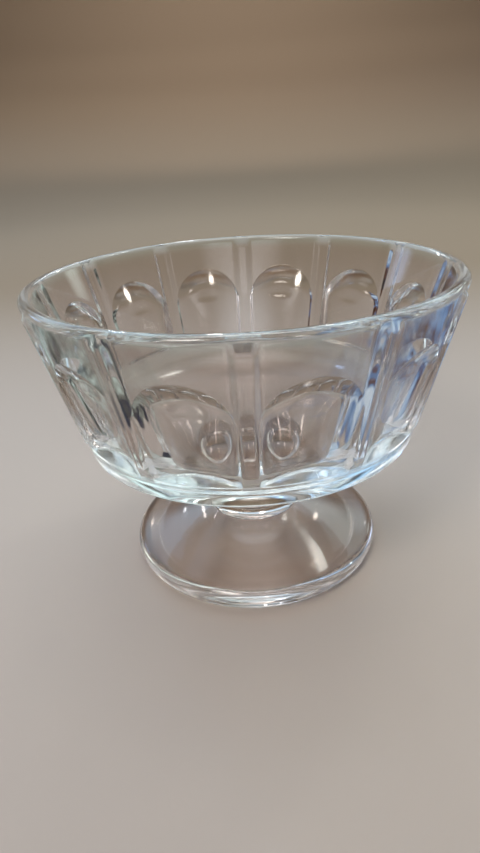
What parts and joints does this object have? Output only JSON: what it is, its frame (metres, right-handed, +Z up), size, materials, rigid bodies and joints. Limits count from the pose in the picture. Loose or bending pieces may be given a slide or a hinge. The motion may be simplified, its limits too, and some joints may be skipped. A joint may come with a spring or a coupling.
{
  "type": "footed dessert bowl",
  "caption": "Clear pressed-glass dessert bowl with a tapered ribbed wall of arched flutes, a thick heel, a short waisted stem and a domed foot.",
  "frame": {"origin": "middle of the ring that the foot stands on, at table level", "axes": "+Z up along the axis of the bowl; a rib of the bowl faces -Y, the way the picture looks at it"},
  "size_m": [0.11, 0.11, 0.0815],
  "materials": {
    "bowl_glass": "fire-polished clear soda-lime glass",
    "stem_glass": "fire-polished clear soda-lime glass",
    "foot_glass": "fire-polished clear soda-lime glass"
  },
  "bodies": {
    "root": {"bowl": "bowl_glass", "stem": "stem_glass", "foot": "foot_glass"}
  },
  "joints": []
}
